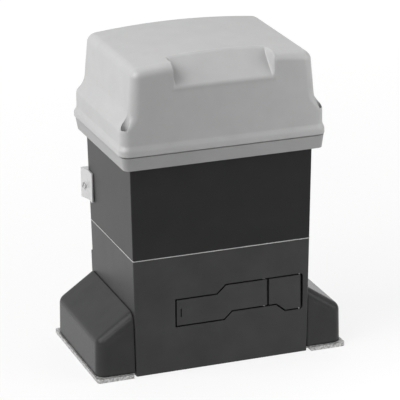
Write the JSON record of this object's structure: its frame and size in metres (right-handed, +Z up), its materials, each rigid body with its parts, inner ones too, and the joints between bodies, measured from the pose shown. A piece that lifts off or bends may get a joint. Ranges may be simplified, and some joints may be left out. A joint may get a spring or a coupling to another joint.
{
  "type": "sliding gate motor",
  "caption": "Floor-standing sliding gate motor in a tall box housing with a domed cover, rack pinion at the back, release lever and lock flap in front, and skirted feet on a foundation plate.",
  "frame": {"origin": "middle of the anchor bolt pattern on the underside of the foundation plate", "axes": "+X to the right seen from the front (the release lever side), +Y to the back (the pinion and rack side), +Z up"},
  "size_m": [0.2768, 0.1965, 0.3384],
  "materials": {
    "cast_black": "satin black paint on die-cast aluminium",
    "foot_black": "fine-grained moulded black",
    "lever_black": "satin black",
    "cover_grey": "fine-grained light grey moulding",
    "gasket_light": "pale gasket sheet",
    "plate_zinc": "dull galvanised",
    "sheet_zinc": "zinc-plated sheet",
    "fastener_steel": "zinc-plated",
    "gear_steel": "machined, lightly oiled",
    "bearing_steel": "ground",
    "wheel_bronze": "machined bronze",
    "core_steel": "stacked laminations",
    "winding_copper": "varnished copper wire",
    "bare_aluminium": "as cast, machined faces",
    "lock_nickel": "nickel-plated",
    "seal_rubber": "matt",
    "board_green": "solder-masked board",
    "module_dark": "moulded dark parts",
    "can_aluminium": "drawn can"
  },
  "bodies": {
    "housing": {"foundation_plate": "plate_zinc", "mounting_studs": "fastener_steel", "mounting_nuts": "fastener_steel", "gearbox_casting": "cast_black", "motor_flange": "bare_aluminium", "casting_gasket": "gasket_light", "motor_housing": "cast_black", "cover_tray": "cover_grey", "cover_seal": "seal_rubber", "cover": "cover_grey", "cover_screws": "fastener_steel", "foot_cover_left": "foot_black", "foot_cover_right": "foot_black", "lever_pin": "fastener_steel", "flap_pin": "fastener_steel", "lock_ring": "lock_nickel", "shaft_bearings": "bearing_steel", "end_flange": "bare_aluminium", "end_flange_screws": "fastener_steel", "shaft_seal": "seal_rubber", "stator_core": "core_steel", "stator_windings": "winding_copper", "motor_bearings": "bearing_steel", "oil_plugs": "fastener_steel", "sensor_carrier": "sheet_zinc", "limit_sensor": "module_dark", "sensor_cover": "sheet_zinc", "sensor_screws": "fastener_steel", "control_board": "board_green", "board_standoffs": "fastener_steel", "transformer": "module_dark", "terminal_blocks": "module_dark", "relays": "module_dark", "capacitor": "can_aluminium"},
    "rotor": {"motor_shaft": "gear_steel", "rotor_core": "core_steel"},
    "output": {"output_shaft": "gear_steel", "shaft_key": "gear_steel", "worm_wheel": "wheel_bronze", "pinion": "gear_steel", "pinion_washer": "fastener_steel", "pinion_screw": "fastener_steel"},
    "collar": {"clutch_collar": "gear_steel"},
    "lever": {"release_lever": "lever_black"},
    "rod": {"release_fork": "gear_steel"},
    "flap": {"lock_flap": "lever_black"},
    "key_barrel": {"lock_barrel": "lock_nickel"}
  },
  "joints": [
    {"name": "rotor_spin", "type": "hinge", "parent": "housing", "child": "rotor", "pos_m": [-0.04, -0.018, 0.084], "axis": [0, 0, 1], "continuous": true},
    {"name": "pinion_spin", "type": "hinge", "parent": "housing", "child": "output", "pos_m": [0, 0, 0.084], "axis": [0, 1, 0], "continuous": true},
    {"name": "release_lever_swing", "type": "hinge", "parent": "housing", "child": "lever", "pos_m": [0.0472, -0.07, 0.073], "axis": [0, 0, 1], "range_deg": [0, 90]},
    {"name": "release_rod_slide", "type": "slide", "parent": "housing", "child": "rod", "axis": [0, 1, 0], "range_m": [0, 0.004]},
    {"name": "clutch_collar_slide", "type": "slide", "parent": "output", "child": "collar", "axis": [0, 1, 0], "range_m": [0, 0.004]},
    {"name": "lock_flap_swing", "type": "hinge", "parent": "housing", "child": "flap", "pos_m": [0.0865, -0.07166, 0.0685], "axis": [0, 0, 1], "range_deg": [0, 95]},
    {"name": "lock_barrel_turn", "type": "hinge", "parent": "housing", "child": "key_barrel", "pos_m": [0.07105, -0.06, 0.0685], "axis": [0, 1, 0], "range_deg": [0, 90]}
  ],
  "couplings": [
    {"joint": "pinion_spin", "follows": "rotor_spin", "ratio": -0.033333},
    {"joint": "release_rod_slide", "follows": "release_lever_swing", "m_per_rad": 0.0025465},
    {"joint": "clutch_collar_slide", "follows": "release_lever_swing", "m_per_rad": 0.0025465}
  ]
}
